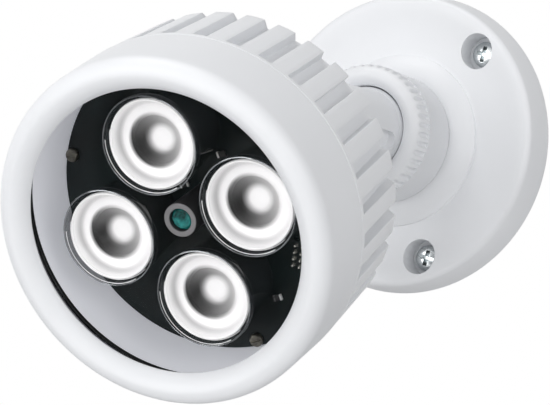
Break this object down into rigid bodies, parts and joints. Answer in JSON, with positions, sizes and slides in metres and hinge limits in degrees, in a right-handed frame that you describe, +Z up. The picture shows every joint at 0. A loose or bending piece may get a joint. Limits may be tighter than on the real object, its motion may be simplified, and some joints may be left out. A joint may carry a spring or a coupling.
{
  "type": "infrared illuminator",
  "caption": "Round infrared illuminator for security cameras: finned lamp head with lenses behind glass, on a swivel and tilt wall bracket with a serrated locking ring.",
  "frame": {"origin": "centre of the base's back face, on the wall plane", "axes": "+Z up, the wall is the plane Y = 0 and the lamp stands out towards -Y, +X to the right as seen from in front"},
  "size_m": [0.076, 0.1605, 0.106],
  "materials": {
    "white_coat": "white powder coat, satin",
    "zinc": "zinc plated",
    "steel": "plain bright",
    "nylon": "smooth",
    "seal_rubber": "satin",
    "clear_glass": "clear, polished",
    "board_black": "black solder mask",
    "clear_acrylic": "clear, moulded",
    "lens_silver": "clear optic, silvery inside",
    "emitter_white": "moulded",
    "sensor_teal": "moulded",
    "sleeve_grey": "matt",
    "tin": "tinned",
    "chip_body": "moulded",
    "brass_post": "turned",
    "ferrite": "fired",
    "can_aluminium": "drawn can"
  },
  "bodies": {
    "base": {"wall_base": "white_coat", "base_screws": "zinc"},
    "ring": {"locking_ring": "white_coat"},
    "neck": {"swivel_neck": "white_coat", "swivel_washer": "nylon", "tilt_screw": "steel", "tilt_nut": "steel"},
    "head": {"tilt_washers": "steel", "arm": "white_coat", "arm_lock_nut": "steel", "arm_seal": "seal_rubber", "finned_housing": "white_coat", "lead_grommet": "seal_rubber", "front_bezel": "white_coat", "glass_gasket": "seal_rubber", "front_glass": "clear_glass", "led_board": "board_black", "board_screws": "tin", "photocell": "sensor_teal", "photocell_sleeve": "sleeve_grey", "board_terminal": "tin", "board_chips": "chip_body", "driver_board": "board_black", "board_spacers": "brass_post", "board_link": "chip_body", "inductor": "ferrite", "capacitors": "can_aluminium", "power_transistor": "chip_body", "lens_holder_top": "clear_acrylic", "lens_top": "lens_silver", "led_emitter_top": "emitter_white", "lens_holder_right": "clear_acrylic", "lens_right": "lens_silver", "led_emitter_right": "emitter_white", "lens_holder_bottom": "clear_acrylic", "lens_bottom": "lens_silver", "led_emitter_bottom": "emitter_white", "lens_holder_left": "clear_acrylic", "lens_left": "lens_silver", "led_emitter_left": "emitter_white"}
  },
  "joints": [
    {"name": "ring_turn", "type": "hinge", "parent": "base", "child": "ring", "pos_m": [0, 0, 0], "axis": [0, -1, 0], "range_deg": [0, 60]},
    {"name": "pan", "type": "hinge", "parent": "base", "child": "neck", "pos_m": [0, 0, 0], "axis": [0, -1, 0], "range_deg": [-170, 170]},
    {"name": "tilt", "type": "hinge", "parent": "neck", "child": "head", "pos_m": [0, -0.049, 0], "axis": [1, 0, 0], "range_deg": [-115.8, 64.2]}
  ]
}
